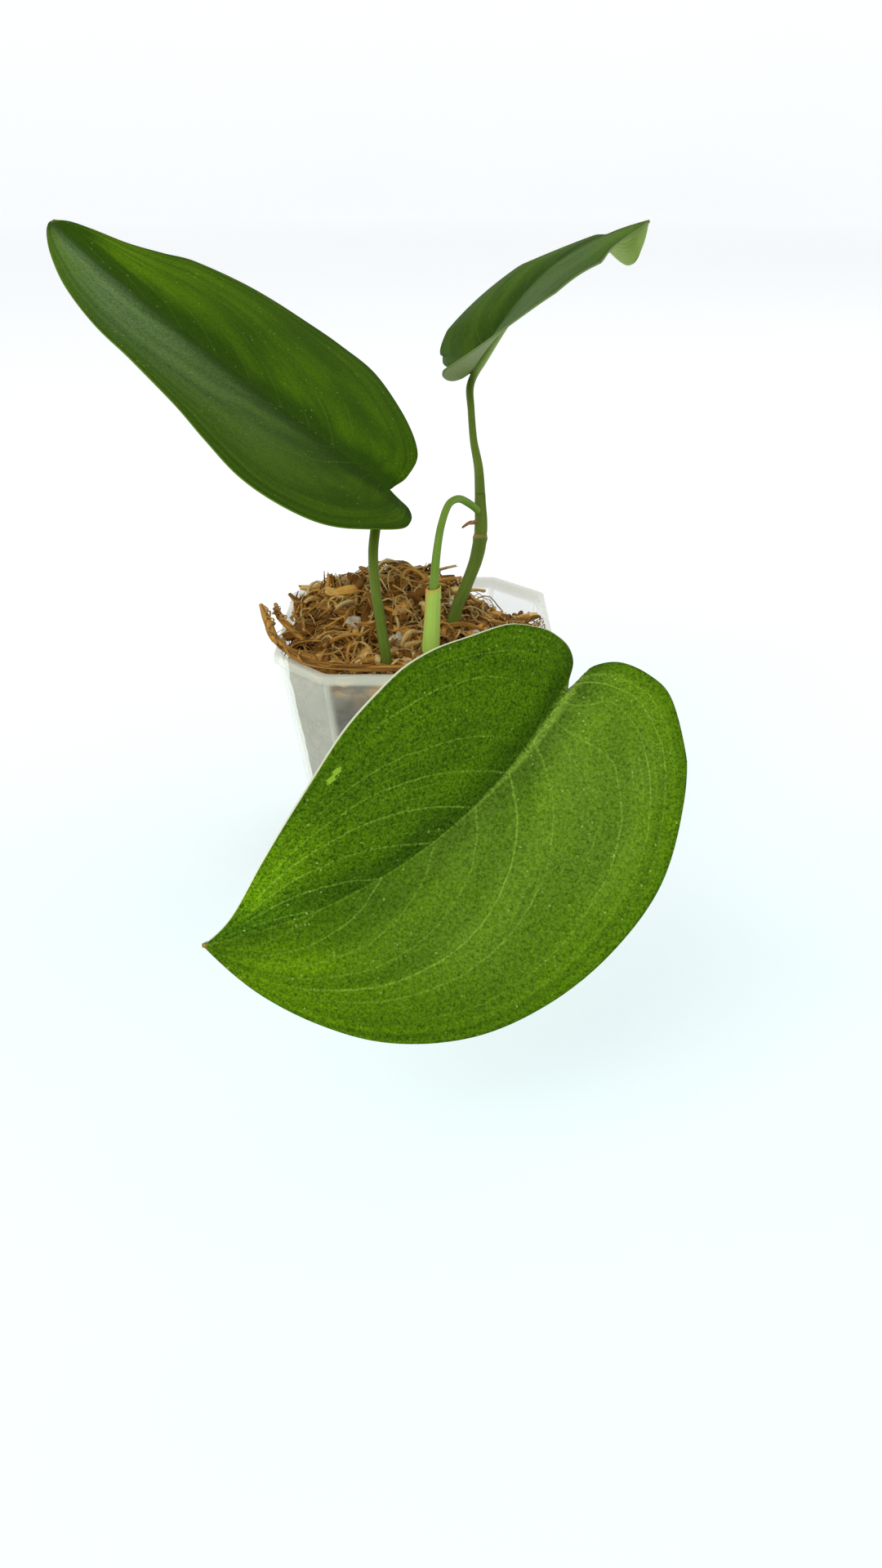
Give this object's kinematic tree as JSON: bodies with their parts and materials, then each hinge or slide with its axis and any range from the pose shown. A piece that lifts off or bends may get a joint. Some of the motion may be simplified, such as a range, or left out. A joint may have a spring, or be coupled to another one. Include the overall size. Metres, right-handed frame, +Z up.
{
  "type": "potted climbing plant",
  "caption": "Young climbing plant with large heart-shaped satin leaves on slender stalks, standing in a square clear nursery pot filled with coconut husk chips.",
  "frame": {"origin": "centre of the pot's underside, on the floor", "axes": "+Z up, -Y towards the side that the front leaf hangs over, +X to the right seen from there"},
  "size_m": [0.1484, 0.1937, 0.1579],
  "materials": {
    "clear_plastic": "milky clear, glossy",
    "husk": "dry, fibrous",
    "grain": "matt, pale",
    "leaf": "satin",
    "stem": "satin",
    "sheath": "satin",
    "root": "dry"
  },
  "bodies": {
    "root": {"pot": "clear_plastic", "potting_mix": "husk", "perlite_1": "grain", "perlite_2": "grain", "perlite_3": "grain", "perlite_4": "grain", "perlite_5": "grain", "perlite_6": "grain", "vine_stem": "stem", "leaf_sheath": "sheath", "aerial_root": "root", "leaf_front": "leaf", "leaf_left": "leaf", "leaf_right": "leaf"}
  },
  "joints": []
}
